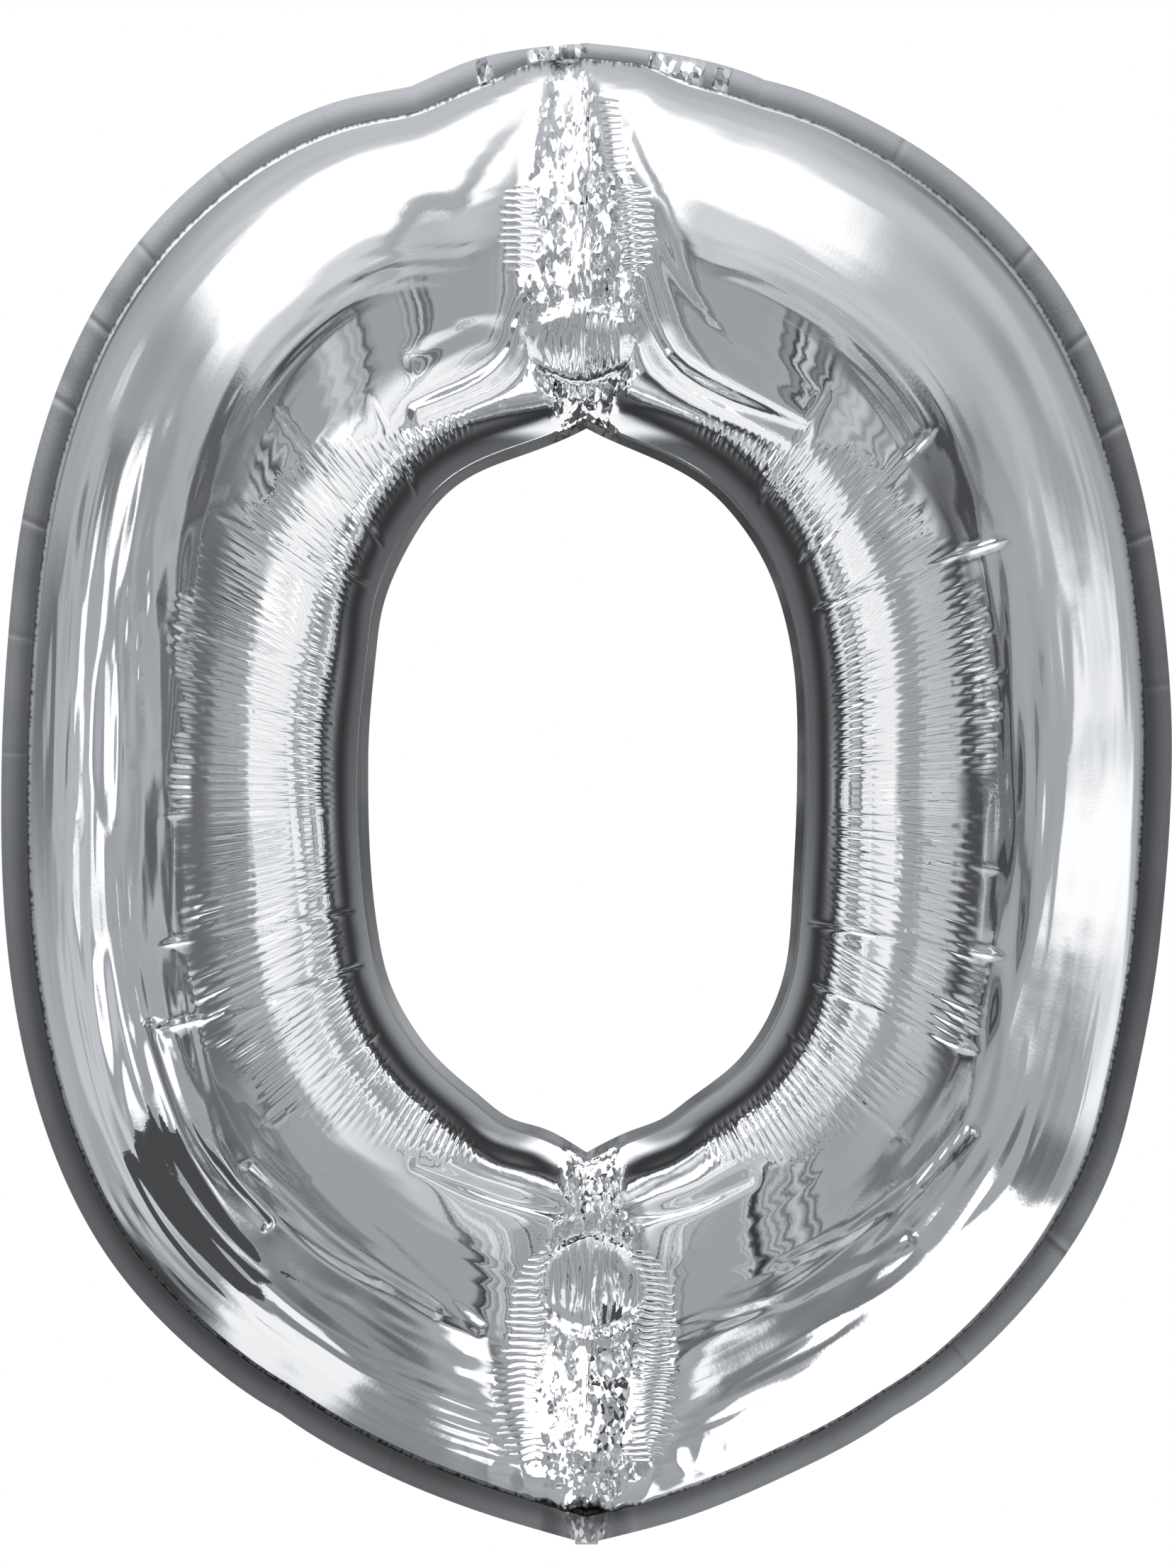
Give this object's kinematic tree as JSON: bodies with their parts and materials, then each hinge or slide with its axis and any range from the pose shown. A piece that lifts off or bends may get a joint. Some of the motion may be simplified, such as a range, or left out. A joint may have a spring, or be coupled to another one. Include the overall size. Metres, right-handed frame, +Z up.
{
  "type": "foil number balloon",
  "caption": "Inflated silver foil balloon shaped as the figure zero, with sealed edges, a central hole and a folded inflation neck.",
  "frame": {"origin": "centre of the balloon's box, in the plane of the seam", "axes": "+Z up from the bottom tip to the top fold, -Y out of the front face, +X to the right seen from the front"},
  "size_m": [0.6706, 0.1972, 0.8603],
  "materials": {
    "silver_film": "mirror-bright vacuum-metallised nylon film, finely pleated round the hole",
    "valve_film": "milky translucent polyethylene film"
  },
  "bodies": {
    "root": {"front_panel": "silver_film", "back_panel": "silver_film", "valve_front_ply": "valve_film", "valve_back_ply": "valve_film"}
  },
  "joints": []
}
